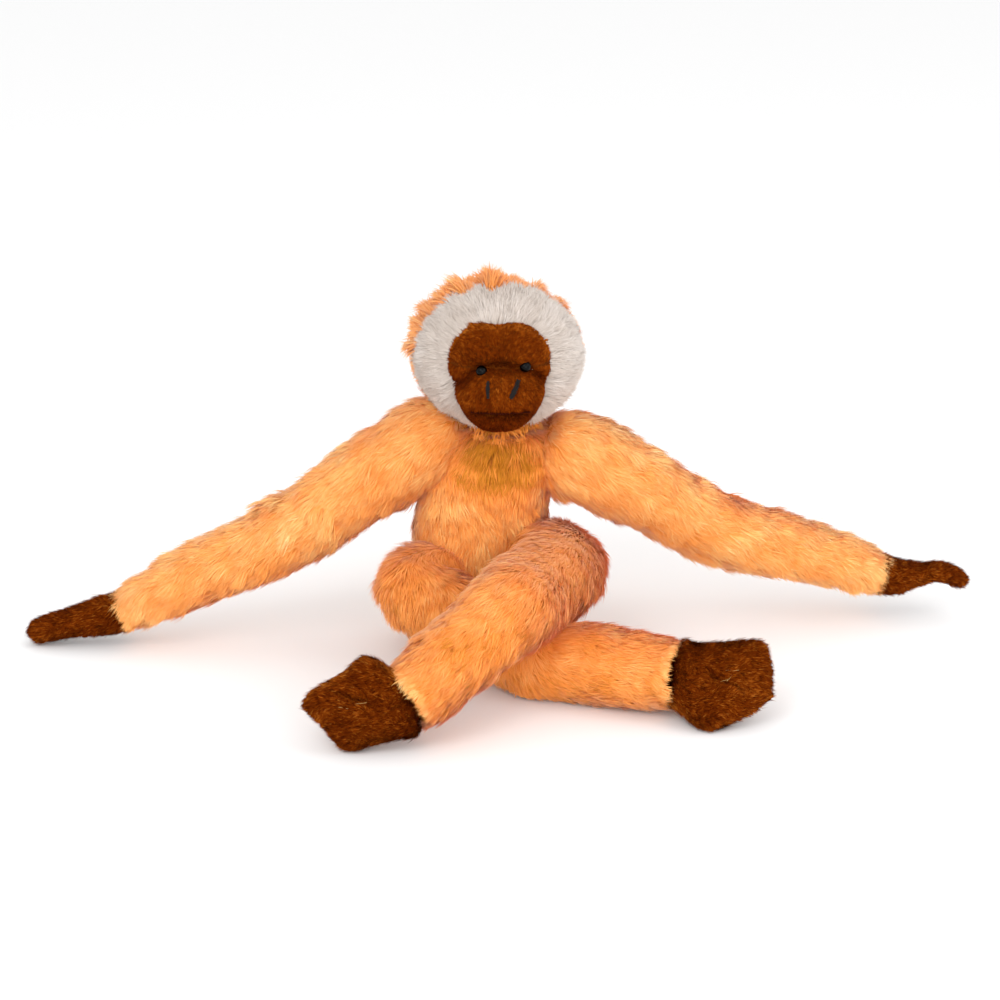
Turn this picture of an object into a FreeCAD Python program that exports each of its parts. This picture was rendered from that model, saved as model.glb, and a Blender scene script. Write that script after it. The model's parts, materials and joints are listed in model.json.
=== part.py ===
import FreeCAD, Part
import math
import os

# Stuffed monkey, sitting with its arms held out and its legs crossed.  All sizes in millimetres.
# Frame: origin at the centre of the seat, on the surface it sits on.  +Z up, the monkey faces -Y,
# its own left side is at +X.  Every sewn cover is a closed skin around its own stuffing.

# ---- fabrics and fits ----
PLUSH_T = 3.0            # plush skin: backing cloth with the dense foot of its pile
VELOUR_T = 2.0           # velour skin of face, hands and feet
BAG_T = 0.8              # cloth of the pellet bag
STUFFING_GAP = 0.2       # stuffing to the inside of its skin
SEAM_GAP = 0.1           # two panels sewn edge to edge
JOINT_GAP = 0.4          # dome of one limb segment to the cup of the next
THREAD_R = 0.6           # sewing thread rings at shoulders and hips
SHOULDER_RING_R = 6.2
HIP_RING_R = 6.5
THREAD_GAP = 0.3         # thread ring to the limb that turns behind it
STITCH_T = 1.0           # raised height of an embroidered stitch
STITCH_GAP = 0.1         # stitch to the velour below it

# ---- torso ----
BELLY_R = 27.0
CHEST_R = 22.0
BELLY_HEIGHT = 18.0      # centre of the belly round above the seat
SPINE_LENGTH = 76.0      # belly centre to chest centre
LEAN = 6.0               # degrees that the body leans to its left
NECK_SEAT = 20.0         # flat for the neck, above the chest centre
PELLET_FILL = 34.0       # top of the pellet bag above the seat
CLOSING_LOW = 38.0       # stuffing opening in the back: lower and upper end
CLOSING_HIGH = 78.0
CLOSING_WIDTH = 1.6

# ---- neck and head ----
NECK_R = 12.0
NECK_GAP = 0.3
NECK_THREAD_R = 0.9
HEAD_R = 38.0
NECK_RISE = 12.0         # bottom of the head above the neck flat
HEAD_RISE = HEAD_R + NECK_RISE
HEAD_SIDE = -1.0         # head centre from the neck, along X and Y
HEAD_FORE = -2.0
NOD_DROP = 2.5           # nod pivot below the bottom of the head
NOD_CLEAR = 0.5          # neck top below the nod pivot
MASK_R = 33.0            # round of the velour face
MASK_PROUD = 5.0         # its front in front of the plush head
MASK_FORE = HEAD_R + MASK_PROUD - MASK_R
MASK_RISE = 1.5
MASK_OUTLINE_R = 28.5    # opening in the white ruff that holds the face
MASK_OUTLINE_DROP = 1.0
MUZZLE_HALF_WIDTH = 22.5
MUZZLE_R = 17.2
MUZZLE_PROUD = 12.2
MUZZLE_FORE = HEAD_R + MUZZLE_PROUD - MUZZLE_R
MUZZLE_DROP = 10.8
FACE_SEAM_RISE = 4.0     # brow to muzzle seam above the head centre
RUFF_BACK = 8.0          # back edge of the ruff in front of the head centre
CHIN_GAP_HALF = 14.0     # the ruff is open below the chin
EYE_R = 3.0
EYE_STEM_R = 1.2
EYE_STEM_LENGTH = 7.0
EYE_RIGHT_X = -9.5       # eyes from the head centre
EYE_RIGHT_RISE = 3.5
EYE_LEFT_X = 13.0
EYE_LEFT_RISE = 5.5
WASHER_R = 5.0
WASHER_T = 1.2
STEM_GAP = 0.1
NOSTRIL_X = 6.5
NOSTRIL_LENGTH = 9.0
NOSTRIL_WIDTH = 2.4
NOSTRIL_DROP = 4.5       # nostril centre below the head centre
NOSTRIL_SPLAY = 14.0     # degrees off upright
MOUTH_DROP = 17.5
MOUTH_HALF = 14.5
MOUTH_HEIGHT = 1.4

# ---- arms ----
SHOULDER_R = 16.5
ELBOW_R = 15.0
WRIST_R = 10.0
FINGER_R = 6.0
UPPER_ARM_LENGTH = 93.5
FOREARM_LENGTH = 101.0
HAND_LENGTH = 42.0       # wrist to the centre of the finger tip
SHOULDER_RISE = 16.0     # shoulder above the chest centre, along the spine
SHOULDER_GAP = 2.0       # room for the sewing thread
SHOULDER_RING_TILT = 8.0 # degrees that the ring faces downwards
THUMB_BASE = 9.0
THUMB_REACH = 9.0
THUMB_R = 5.0
ARM_BEND_MAX = 72.0      # most that an elbow or wrist bends

# ---- legs ----
LEG_R = 17.0
ANKLE_R = 16.0
THIGH_LENGTH = 76.0
SHIN_LENGTH = 76.0
HIP_GAP = 3.4
KNEE_BEND_MAX = 72.0
ANKLE_BEND_MAX = 78.0
CROSS_GAP = 0.8          # crossed legs, upper one over the lower one
FLOOR_GAP = 0.3
FOOT_HEEL_R = 15.0
FOOT_BALL_R = 11.0
FOOT_LOBE_R = 7.5

# ---- pose of each limb: heading in degrees from +X in plan, pitch above level ----
UPPER_ARM_RIGHT = (186.5, -32.0)
UPPER_ARM_LEFT = (11.4, -30.1)
FOREARM_HEADING_RIGHT = 180.0
FOREARM_HEADING_LEFT = 8.5
WRIST_HEIGHT_RIGHT = 19.0
WRIST_HEIGHT_LEFT = 26.0
HAND_RIGHT = (180.0, -13.2)
HAND_LEFT = (13.4, -10.8)
THIGH_HEADING_RIGHT = -28.6
HIP_ALONG_RIGHT = -13.3
HIP_HEIGHT_RIGHT = 42.0
SHIN_HEADING_RIGHT = -24.4
ANKLE_HEIGHT_RIGHT = 21.5
THIGH_HEADING_LEFT = 251.0
HIP_ALONG_LEFT = 12.0
THIGH_PITCH_LEFT = 4.0
SHIN_HEADING_LEFT = 220.0
ANKLE_HEIGHT_LEFT = 26.0
FOOT_RIGHT = (-15.0, -2.0)
FOOT_TURN_RIGHT = 43.0  # roll of the sole about the foot's own length
FOOT_LEFT = (189.0, 1.0)
FOOT_TURN_LEFT = -84.0

V = FreeCAD.Vector
UP = V(0, 0, 1)
BIG = 400.0

os.makedirs("parts", exist_ok=True)


def export(name, shape):
    """Write one closed solid as its own file."""
    solids = shape.Solids
    if len(solids) != 1:
        raise ValueError(name + " is in " + str(len(solids)) + " pieces")
    if not solids[0].isValid() or solids[0].Volume <= 0:
        raise ValueError(name + " is not a valid solid")
    solids[0].exportStep("parts/" + name + ".step")


def direction(heading, pitch):
    """Unit vector from a heading in plan and a pitch above level, in degrees."""
    h = math.radians(heading)
    p = math.radians(pitch)
    return V(math.cos(p) * math.cos(h), math.cos(p) * math.sin(h), math.sin(p))


def unit(v):
    return v * (1.0 / v.Length)


def placed(shape, origin, u, v):
    """Move a shape from its own frame to origin, its +X along u and its +Y towards v."""
    u = unit(u)
    w = unit(u.cross(v))
    v = w.cross(u)
    m = FreeCAD.Matrix(
        u.x, v.x, w.x, origin.x,
        u.y, v.y, w.y, origin.y,
        u.z, v.z, w.z, origin.z,
        0, 0, 0, 1,
    )
    out = shape.copy()
    out.Placement = FreeCAD.Placement(m).multiply(out.Placement)
    return out


def ball(centre, radius):
    return Part.makeSphere(radius, centre, UP, -90, 90, 360)


def capsule(start, end, r_start, r_end):
    """Two rounds joined by the cone that is tangent to both."""
    span = end - start
    length = span.Length
    s = (r_start - r_end) / length
    c = math.sqrt(1.0 - s * s)
    half = math.sqrt(0.5)
    a0 = V(-r_start, 0, 0)
    a1 = V(-r_start * half, r_start * half, 0)
    a2 = V(r_start * s, r_start * c, 0)
    b0 = V(length + r_end * s, r_end * c, 0)
    b1 = V(length + r_end * half, r_end * half, 0)
    b2 = V(length + r_end, 0, 0)
    edges = [
        Part.Arc(a0, a1, a2).toShape(),
        Part.LineSegment(a2, b0).toShape(),
        Part.Arc(b0, b1, b2).toShape(),
        Part.LineSegment(b2, a0).toShape(),
    ]
    face = Part.Face(Part.Wire(edges))
    solid = face.revolve(V(0, 0, 0), V(1, 0, 0), 360)
    helper = UP
    if abs(unit(span).z) > 0.9:
        helper = V(0, 1, 0)
    return placed(solid, start, span, helper)


def slab(point, normal):
    """A large block that fills the side of a plane which its normal points to."""
    block = Part.makeBox(BIG, 2 * BIG, 2 * BIG, V(0, -BIG, -BIG))
    helper = UP
    if abs(unit(normal).z) > 0.9:
        helper = V(0, 1, 0)
    return placed(block, point, normal, helper)


def cup_start(radius, bend_max):
    """Where the next segment may start so that it clears the last one at its greatest bend."""
    outer = radius + JOINT_GAP
    slack = math.acos(radius / outer)
    return outer * math.sin(math.radians(bend_max) - slack) + JOINT_GAP


def cut_cup(body, pivot, axis, dome_r, bend_max, shrink):
    """Hollow the start of a segment around the dome that it turns on."""
    start = cup_start(dome_r, bend_max) + shrink
    body = body.cut(slab(pivot + axis * start, axis * -1.0))
    return body.cut(ball(pivot, dome_r + JOINT_GAP + shrink))


def skin_and_stuffing(make, thickness):
    """make(shrink) gives a body and the same body drawn in; returns its skin and its filling."""
    skin = make(0.0).cut(make(thickness))
    stuffing = make(thickness + STUFFING_GAP)
    return skin, stuffing


def thread_ring(pivot, limb_r, ring_r, sunk, towards):
    """Ring of sewing thread on the body side of a limb; a sunk ring hugs the round end."""
    along = limb_r + THREAD_GAP + THREAD_R
    if sunk:
        along = math.sqrt(along * along - ring_r * ring_r)
    return Part.makeTorus(ring_r, THREAD_R, pivot + towards * along, towards)


# ---- torso: belly and chest rounds on a leaning spine, flat seat and flat neck ----
lean = math.radians(LEAN)
spine = V(math.sin(lean), 0, math.cos(lean))
belly = V(0, 0, BELLY_HEIGHT)
chest = belly + spine * SPINE_LENGTH
neck_seat = chest + spine * NECK_SEAT


def torso(shrink):
    body = capsule(belly, chest, BELLY_R - shrink, CHEST_R - shrink)
    body = body.cut(slab(V(0, 0, shrink), UP * -1.0))
    return body.cut(slab(neck_seat - spine * shrink, spine))


torso_skin, torso_inside = skin_and_stuffing(torso, PLUSH_T)
front_side = slab(V(0, -SEAM_GAP / 2, 0), V(0, -1, 0))
back_side = slab(V(0, SEAM_GAP / 2, 0), V(0, 1, 0))
export("torso_front_panel", torso_skin.common(front_side))
export("torso_back_panel", torso_skin.common(back_side))

pellet_top = V(0, 0, PELLET_FILL)


def pellet_body(shrink):
    body = torso(PLUSH_T + STUFFING_GAP + shrink)
    return body.cut(slab(pellet_top - UP * shrink, UP))


export("seat_pellet_bag", pellet_body(0.0).cut(pellet_body(BAG_T)))
export("seat_pellets", pellet_body(BAG_T + STUFFING_GAP))
export("torso_stuffing", torso_inside.cut(slab(pellet_top + UP * STUFFING_GAP, UP * -1.0)))

closing_box = Part.makeBox(
    CLOSING_WIDTH, BIG, CLOSING_HIGH - CLOSING_LOW,
    V(math.tan(lean) * (CLOSING_LOW + CLOSING_HIGH) / 2 - CLOSING_WIDTH / 2, 0, CLOSING_LOW),
)
closing_skin = torso(-STITCH_T).cut(torso(-STITCH_GAP))
export("back_closing_stitch", closing_skin.common(closing_box))

# ---- neck: short tube with its gathering thread, and the head that nods on it ----
head = neck_seat + V(HEAD_SIDE, HEAD_FORE, HEAD_RISE)
nod_pivot = V(head.x, head.y, head.z - HEAD_R - NOD_DROP)
neck_low = neck_seat + spine * NECK_GAP
neck_height = (nod_pivot.z - NOD_CLEAR - neck_low.z) / math.cos(lean) - NECK_R * math.sin(lean)
neck_body = Part.makeCylinder(NECK_R, neck_height, neck_low, spine)
neck_middle = neck_low + spine * (neck_height / 2)
neck_groove = Part.makeTorus(NECK_R, NECK_THREAD_R + SEAM_GAP, neck_middle, spine)
export("neck_cover", neck_body.cut(neck_groove))
export("neck_gather_thread", Part.makeTorus(NECK_R, NECK_THREAD_R, neck_middle, spine))


def muzzle_round(grow):
    """Wide round of the muzzle, lying from left to right."""
    middle = head + V(0, -MUZZLE_FORE, -MUZZLE_DROP)
    half = V(MUZZLE_HALF_WIDTH - MUZZLE_R, 0, 0)
    return capsule(middle - half, middle + half, MUZZLE_R + grow, MUZZLE_R + grow)


def skull(shrink):
    body = ball(head, HEAD_R - shrink)
    return body.fuse(ball(head + V(0, -MASK_FORE, MASK_RISE), MASK_R - shrink))


def head_body(shrink):
    return skull(shrink).fuse(muzzle_round(-shrink))


def face_post(radius):
    """Round post along the view of the face, from inside the head forwards."""
    base = head + V(0, -RUFF_BACK, -MASK_OUTLINE_DROP)
    return Part.makeCylinder(radius, BIG, base, V(0, -1, 0))


head_skin = head_body(0.0).cut(head_body(VELOUR_T))
seam = head + V(0, 0, FACE_SEAM_RISE)
mask = head_skin.common(face_post(MASK_OUTLINE_R - SEAM_GAP))
fur_skin = skull(0.0).cut(head_body(VELOUR_T))
fur_skin = fur_skin.cut(face_post(MASK_OUTLINE_R)).cut(muzzle_round(SEAM_GAP))
ruff_zone = slab(head + V(0, -RUFF_BACK, 0), V(0, -1, 0))
chin_low = head + V(-CHIN_GAP_HALF, -BIG, -BIG)
chin_gap = Part.makeBox(2 * CHIN_GAP_HALF, BIG, BIG, chin_low)
chin_inner = Part.makeBox(
    2 * (CHIN_GAP_HALF - SEAM_GAP), BIG + RUFF_BACK, BIG, chin_low + V(SEAM_GAP, 0, 0)
)
ruff = fur_skin.common(ruff_zone).cut(chin_gap)
hood_back = fur_skin.cut(slab(head + V(0, -RUFF_BACK + SEAM_GAP, 0), V(0, -1, 0)))
hood = hood_back.fuse(fur_skin.common(chin_inner))
brow = mask.cut(slab(seam + UP * (SEAM_GAP / 2), UP * -1.0))
muzzle = mask.cut(slab(seam - UP * (SEAM_GAP / 2), UP))
head_stuffing = head_body(VELOUR_T + STUFFING_GAP)

eyes = [
    ("right", EYE_RIGHT_X, EYE_RIGHT_RISE),
    ("left", EYE_LEFT_X, EYE_LEFT_RISE),
]
eye_points = {}
for side, x, rise in eyes:
    dx = x
    dz = rise - MASK_RISE
    depth = MASK_FORE + math.sqrt(MASK_R * MASK_R - dx * dx - dz * dz)
    point = head + V(x, -depth, rise)
    eye_points[side] = point
    stem_dir = V(0, 1, 0)
    bead = ball(point, EYE_R).cut(head_body(-STEM_GAP))
    stem = Part.makeCylinder(EYE_STEM_R, EYE_STEM_LENGTH, point, stem_dir)
    hole = Part.makeCylinder(EYE_STEM_R + STEM_GAP, EYE_STEM_LENGTH + 1.0, point, stem_dir)
    washer_at = point + stem_dir * (VELOUR_T + 2.2)
    washer = Part.makeCylinder(WASHER_R, WASHER_T, washer_at, stem_dir)
    pocket = Part.makeCylinder(WASHER_R + STEM_GAP, WASHER_T + 4.0, point + stem_dir * VELOUR_T, stem_dir)
    brow = brow.cut(hole)
    muzzle = muzzle.cut(hole)
    head_stuffing = head_stuffing.cut(hole).cut(pocket)
    inner_wall = head_skin
    export("eye_" + side, bead.fuse(stem))
    export("eye_washer_" + side, washer.cut(hole).cut(inner_wall))

export("hood", hood)
export("ruff", ruff)
export("brow", brow)
export("muzzle", muzzle)
export("head_stuffing", head_stuffing)

stitch_skin = muzzle_round(STITCH_T).cut(muzzle_round(STITCH_GAP))
stitch_skin = stitch_skin.cut(ball(head + V(0, -MASK_FORE, MASK_RISE), MASK_R + STITCH_GAP))
for side, sign in (("right", -1.0), ("left", 1.0)):
    bar = Part.makeBox(
        NOSTRIL_WIDTH, BIG, NOSTRIL_LENGTH, V(-NOSTRIL_WIDTH / 2, -BIG, -NOSTRIL_LENGTH / 2)
    )
    bar.rotate(V(0, 0, 0), V(0, 1, 0), sign * NOSTRIL_SPLAY)
    bar.translate(head + V(sign * NOSTRIL_X, -MUZZLE_FORE, -NOSTRIL_DROP))
    export("nostril_stitch_" + side, stitch_skin.common(bar))
mouth_bar = Part.makeBox(
    2 * MOUTH_HALF, BIG, MOUTH_HEIGHT,
    head + V(-MOUTH_HALF, -BIG - MUZZLE_FORE, -MOUTH_DROP - MOUTH_HEIGHT / 2),
)
export("mouth_stitch", stitch_skin.common(mouth_bar))

# ---- arms ----
joints = {}
reach = CHEST_R + SHOULDER_R + SHOULDER_GAP
shoulder_side = math.sqrt(reach * reach - SHOULDER_RISE * SHOULDER_RISE)
across = V(math.cos(lean), 0, -math.sin(lean))


def arm(side, sign, upper_pose, forearm_heading, wrist_height, hand_pose):
    shoulder = chest + spine * SHOULDER_RISE + across * (sign * shoulder_side)
    upper_dir = direction(upper_pose[0], upper_pose[1])
    elbow = shoulder + upper_dir * UPPER_ARM_LENGTH
    drop = math.degrees(math.asin((elbow.z - wrist_height) / FOREARM_LENGTH))
    fore_dir = direction(forearm_heading, -drop)
    wrist = elbow + fore_dir * FOREARM_LENGTH
    hand_dir = direction(hand_pose[0], hand_pose[1])
    tip = wrist + hand_dir * HAND_LENGTH
    thumb_dir = unit(unit(hand_dir.cross(UP)).cross(hand_dir)) * -1.0

    def upper(shrink):
        return capsule(shoulder, elbow, SHOULDER_R - shrink, ELBOW_R - shrink)

    def fore(shrink):
        body = capsule(elbow, wrist, ELBOW_R - shrink, WRIST_R - shrink)
        return cut_cup(body, elbow, fore_dir, ELBOW_R, ARM_BEND_MAX, shrink)

    def hand(shrink):
        body = capsule(wrist, tip, WRIST_R - shrink, FINGER_R - shrink)
        base = wrist + hand_dir * THUMB_BASE
        end = base + hand_dir * THUMB_R + thumb_dir * THUMB_REACH
        thumb = capsule(base, end, THUMB_R + 1.0 - shrink, THUMB_R - shrink)
        return cut_cup(body.fuse(thumb), wrist, hand_dir, WRIST_R, ARM_BEND_MAX, shrink)

    skin, stuffing = skin_and_stuffing(upper, PLUSH_T)
    export("upper_arm_cover_" + side, skin)
    export("upper_arm_stuffing_" + side, stuffing)
    skin, stuffing = skin_and_stuffing(fore, PLUSH_T)
    export("forearm_cover_" + side, skin)
    export("forearm_stuffing_" + side, stuffing)
    skin, stuffing = skin_and_stuffing(hand, VELOUR_T)
    back = unit(hand_dir.cross(thumb_dir)) * sign
    export("hand_back_" + side, skin.common(slab(wrist + back * (SEAM_GAP / 2), back)))
    export("hand_palm_" + side, skin.common(slab(wrist - back * (SEAM_GAP / 2), back * -1.0)))
    export("hand_stuffing_" + side, stuffing)
    inward = across * -sign - spine * math.tan(math.radians(SHOULDER_RING_TILT))
    ring = thread_ring(shoulder, SHOULDER_R, SHOULDER_RING_R, True, unit(inward))
    export("shoulder_stitch_" + side, ring)
    joints["arm_" + side] = (shoulder, elbow, wrist, tip, upper_dir, fore_dir, hand_dir)


arm("right", -1.0, UPPER_ARM_RIGHT, FOREARM_HEADING_RIGHT, WRIST_HEIGHT_RIGHT, HAND_RIGHT)
arm("left", 1.0, UPPER_ARM_LEFT, FOREARM_HEADING_LEFT, WRIST_HEIGHT_LEFT, HAND_LEFT)

# ---- legs: the right leg lies on the surface, the left one crosses over it ----
hip_out = BELLY_R + LEG_R + HIP_GAP


def hip_at(heading, along, height, sign):
    """Hip pivot whose leg passes clear in front of the belly."""
    run = direction(heading, 0)
    out = V(run.y * sign, -run.x * sign, 0)
    point = out * hip_out + run * along
    return V(point.x, point.y, height)


hip_right = hip_at(THIGH_HEADING_RIGHT, HIP_ALONG_RIGHT, HIP_HEIGHT_RIGHT, 1.0)
knee_height_right = LEG_R + FLOOR_GAP
thigh_drop = math.asin((HIP_HEIGHT_RIGHT - knee_height_right) / THIGH_LENGTH)
thigh_right = direction(THIGH_HEADING_RIGHT, -math.degrees(thigh_drop))
knee_right = hip_right + thigh_right * THIGH_LENGTH
shin_rise = math.asin((ANKLE_HEIGHT_RIGHT - knee_height_right) / SHIN_LENGTH)
shin_right = direction(SHIN_HEADING_RIGHT, math.degrees(shin_rise))
ankle_right = knee_right + shin_right * SHIN_LENGTH

# the left thigh is lifted until it passes the right one with the crossing gap
thigh_left = direction(THIGH_HEADING_LEFT, THIGH_PITCH_LEFT)
hip_left = hip_at(THIGH_HEADING_LEFT, HIP_ALONG_LEFT, 0.0, -1.0)
between = unit(thigh_left.cross(thigh_right))
if between.z < 0:
    between = between * -1.0
apart = (hip_left - hip_right).dot(between)
needed = 2 * LEG_R + CROSS_GAP
hip_left = hip_left + UP * ((needed - apart) / between.z)
knee_left = hip_left + thigh_left * THIGH_LENGTH
shin_drop = math.asin((knee_left.z - ANKLE_HEIGHT_LEFT) / SHIN_LENGTH)
shin_left = direction(SHIN_HEADING_LEFT, -math.degrees(shin_drop))
ankle_left = knee_left + shin_left * SHIN_LENGTH


def leg(side, hip, knee, ankle, shin_dir, foot_pose, foot_turn):
    foot_dir = direction(foot_pose[0], foot_pose[1])
    level = unit(foot_dir.cross(UP))
    turn = FreeCAD.Rotation(foot_dir, foot_turn)
    thumb_dir = turn.multVec(level)

    def spot(along, across_pad):
        return ankle + foot_dir * along + thumb_dir * across_pad

    def thigh(shrink):
        return capsule(hip, knee, LEG_R - shrink, LEG_R - shrink)

    def shin(shrink):
        body = capsule(knee, ankle, LEG_R - shrink, ANKLE_R - shrink)
        return cut_cup(body, knee, shin_dir, LEG_R, KNEE_BEND_MAX, shrink)

    def foot(shrink):
        heel_r = FOOT_HEEL_R - shrink
        ball_r = FOOT_BALL_R - shrink
        lobe_r = FOOT_LOBE_R - shrink
        body = capsule(spot(0, 0), spot(24, 3), heel_r, ball_r)
        body = body.fuse(capsule(spot(20, 2), spot(40.5, 2.5), ball_r - 1.0, lobe_r))
        body = body.fuse(capsule(spot(17, 5), spot(21, 21.5), ball_r - 1.5, lobe_r))
        body = body.fuse(capsule(spot(20, -2), spot(30, -18), ball_r - 1.0, lobe_r))
        return cut_cup(body, ankle, foot_dir, ANKLE_R, ANKLE_BEND_MAX, shrink)

    skin, stuffing = skin_and_stuffing(thigh, PLUSH_T)
    export("thigh_cover_" + side, skin)
    export("thigh_stuffing_" + side, stuffing)
    skin, stuffing = skin_and_stuffing(shin, PLUSH_T)
    export("shin_cover_" + side, skin)
    export("shin_stuffing_" + side, stuffing)
    skin, stuffing = skin_and_stuffing(foot, VELOUR_T)
    top = unit(foot_dir.cross(thumb_dir))
    if top.y > 0:
        top = top * -1.0
    export("foot_sole_" + side, skin.common(slab(ankle + top * (SEAM_GAP / 2), top)))
    export("foot_top_" + side, skin.common(slab(ankle - top * (SEAM_GAP / 2), top * -1.0)))
    export("foot_stuffing_" + side, stuffing)
    hinge = unit((knee - hip).cross(UP))
    if hinge.dot(V(hip.x, hip.y, 0)) > 0:
        hinge = hinge * -1.0
    export("hip_stitch_" + side, thread_ring(hip, LEG_R, HIP_RING_R, False, hinge))
    joints["leg_" + side] = (hip, knee, ankle, foot_dir, thumb_dir, shin_dir)


leg("right", hip_right, knee_right, ankle_right, shin_right, FOOT_RIGHT, FOOT_TURN_RIGHT)
leg("left", hip_left, knee_left, ankle_left, shin_left, FOOT_LEFT, FOOT_TURN_LEFT)
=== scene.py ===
import bpy
import json
import math
import numpy as np
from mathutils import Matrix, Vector


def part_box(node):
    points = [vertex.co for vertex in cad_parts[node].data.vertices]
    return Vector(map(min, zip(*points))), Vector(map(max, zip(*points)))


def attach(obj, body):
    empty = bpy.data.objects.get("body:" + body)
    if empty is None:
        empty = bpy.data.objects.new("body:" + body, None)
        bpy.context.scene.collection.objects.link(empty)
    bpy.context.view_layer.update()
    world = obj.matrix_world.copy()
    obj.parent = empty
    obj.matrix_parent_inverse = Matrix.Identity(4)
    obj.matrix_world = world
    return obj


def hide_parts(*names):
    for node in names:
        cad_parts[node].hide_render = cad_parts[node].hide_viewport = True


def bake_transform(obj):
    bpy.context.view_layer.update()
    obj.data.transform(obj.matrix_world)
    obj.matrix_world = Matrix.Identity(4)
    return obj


# Looks of the seated plush gibbon.  Lengths here are millimetres and become metres in make_mesh().
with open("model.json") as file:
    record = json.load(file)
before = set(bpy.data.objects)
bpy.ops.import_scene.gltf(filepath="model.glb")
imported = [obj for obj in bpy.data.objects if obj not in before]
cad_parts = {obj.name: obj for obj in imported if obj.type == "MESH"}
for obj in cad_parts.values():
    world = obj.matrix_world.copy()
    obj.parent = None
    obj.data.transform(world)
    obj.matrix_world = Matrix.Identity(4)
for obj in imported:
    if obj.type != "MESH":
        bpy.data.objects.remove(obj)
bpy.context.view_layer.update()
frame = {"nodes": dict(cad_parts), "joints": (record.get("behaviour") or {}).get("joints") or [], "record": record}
MM = 0.001
Z = np.array([0.0, 0.0, 1.0])
JOINTS = {j["name"]: j for j in frame["joints"]}
FUR_DENSITY = 4.2        # strands per square millimetre of plush
VELOUR_DENSITY = 8.5     # and of velour
FUR_WIDTH = 0.6          # orange strand at its root
SHORT_FUR_WIDTH = 0.54   # the same on the limbs
RUFF_WIDTH = 0.42
CURVE_STEPS = 40         # steps between two control points of a curve
STRAND_FLOOR = 0.4       # no strand goes below this height
STRAND_FLOOR_STEP = 0.3  # and each joint of a strand stays this much above the one before
SKIN_FLOOR = 1.2         # lowest point of a sleeve that rests on the floor
PAD_FLOOR = 0.9          # and of a foot
FACE_X, FACE_Z = -1.2, -1.8   # middle of the velour face from the head centre
MOUTH_Z = -17.3          # mouth line from the head centre
MOUTH_HALF = (16.5, 13.0)     # the mouth line fades out between these, either side of the middle
scene = bpy.context.scene


# ---------------------------------------------------------------- small maths
def unit(v):
    v = np.asarray(v, float)
    return v / np.maximum(np.linalg.norm(v, axis=-1, keepdims=True), 1e-9)


def pivot(name):
    return np.array(JOINTS[name]["pos_m"]) / MM


def node_centre(name):
    lo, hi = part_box(name)
    return (np.array(lo) + np.array(hi)) / 2 / MM


def smooth(a, b, x):
    t = np.clip((np.asarray(x, float) - a) / (b - a), 0, 1)
    return t * t * (3 - 2 * t)


def bump(x, centre, width):
    return np.exp(-((np.asarray(x, float) - centre) / width) ** 2)


def scatter(ix, iy, iz, seed):
    h = (ix * 73856093) ^ (iy * 19349663) ^ (iz * 83492791) ^ (seed * 40503 + 977)
    h = h & 0x7FFFFFFF
    h = ((h >> 13) ^ h) * 1274126177 & 0x7FFFFFFF
    h = ((h >> 11) ^ h) * 668265263 & 0x7FFFFFFF
    return ((h >> 7) & 0xFFFF) / 65535.0


def noise3(p, size, seed=0):
    """Smooth noise from -1 to 1 with features of about the given size."""
    q = np.asarray(p, float) / size + 1000.0
    i = np.floor(q).astype(np.int64)
    f = q - i
    f = f * f * (3 - 2 * f)
    total = 0.0
    for dx in (0, 1):
        for dy in (0, 1):
            for dz in (0, 1):
                w = (f[:, 0] if dx else 1 - f[:, 0])
                w = w * (f[:, 1] if dy else 1 - f[:, 1])
                w = w * (f[:, 2] if dz else 1 - f[:, 2])
                total = total + w * scatter(i[:, 0] + dx, i[:, 1] + dy, i[:, 2] + dz, seed)
    return total * 2 - 1


def noise_vec(p, size, seed=0):
    return np.stack([noise3(p, size, seed + k) for k in range(3)], 1)


def locks(p, size, seed=0):
    """For each point, the middle of the fur lock that it belongs to and a random number for that lock."""
    q = np.asarray(p, float) / size + 1000.0
    i = np.floor(q).astype(np.int64)
    best = np.full(len(q), 1e9)
    middle = np.zeros_like(q)
    mark = np.zeros(len(q))
    for dx in (-1, 0, 1):
        for dy in (-1, 0, 1):
            for dz in (-1, 0, 1):
                c = i + np.array([dx, dy, dz])
                s = np.stack([scatter(c[:, 0], c[:, 1], c[:, 2], seed + k) for k in (1, 2, 3)], 1)
                m = c + s
                d = ((m - q) ** 2).sum(1)
                near = d < best
                best[near] = d[near]
                middle[near] = m[near]
                mark[near] = scatter(c[:, 0], c[:, 1], c[:, 2], seed + 4)[near]
    return (middle - 1000.0) * size, mark


# ---------------------------------------------------------------- meshes
def make_mesh(name, verts, tris, uv=None, normals=None, material=None):
    """Triangle mesh in metres from arrays in millimetres."""
    mesh = bpy.data.meshes.new(name)
    mesh.vertices.add(len(verts))
    mesh.vertices.foreach_set("co", (np.asarray(verts) * MM).astype(np.float32).ravel())
    tris = np.asarray(tris, np.int32)
    mesh.loops.add(tris.size)
    mesh.loops.foreach_set("vertex_index", tris.ravel())
    mesh.polygons.add(len(tris))
    mesh.polygons.foreach_set("loop_start", np.arange(0, tris.size, 3, dtype=np.int32))
    if uv is not None:
        layer = mesh.uv_layers.new(name="OFBake")
        layer.data.foreach_set("uv", np.asarray(uv, np.float32)[tris.ravel()].ravel())
    mesh.update(calc_edges=True)
    if normals is not None:
        mesh.normals_split_custom_set_from_vertices(unit(normals).astype(np.float32))
    if material:
        mesh.materials.append(material)
    obj = bpy.data.objects.new(name, mesh)
    scene.collection.objects.link(obj)
    return obj


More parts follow.
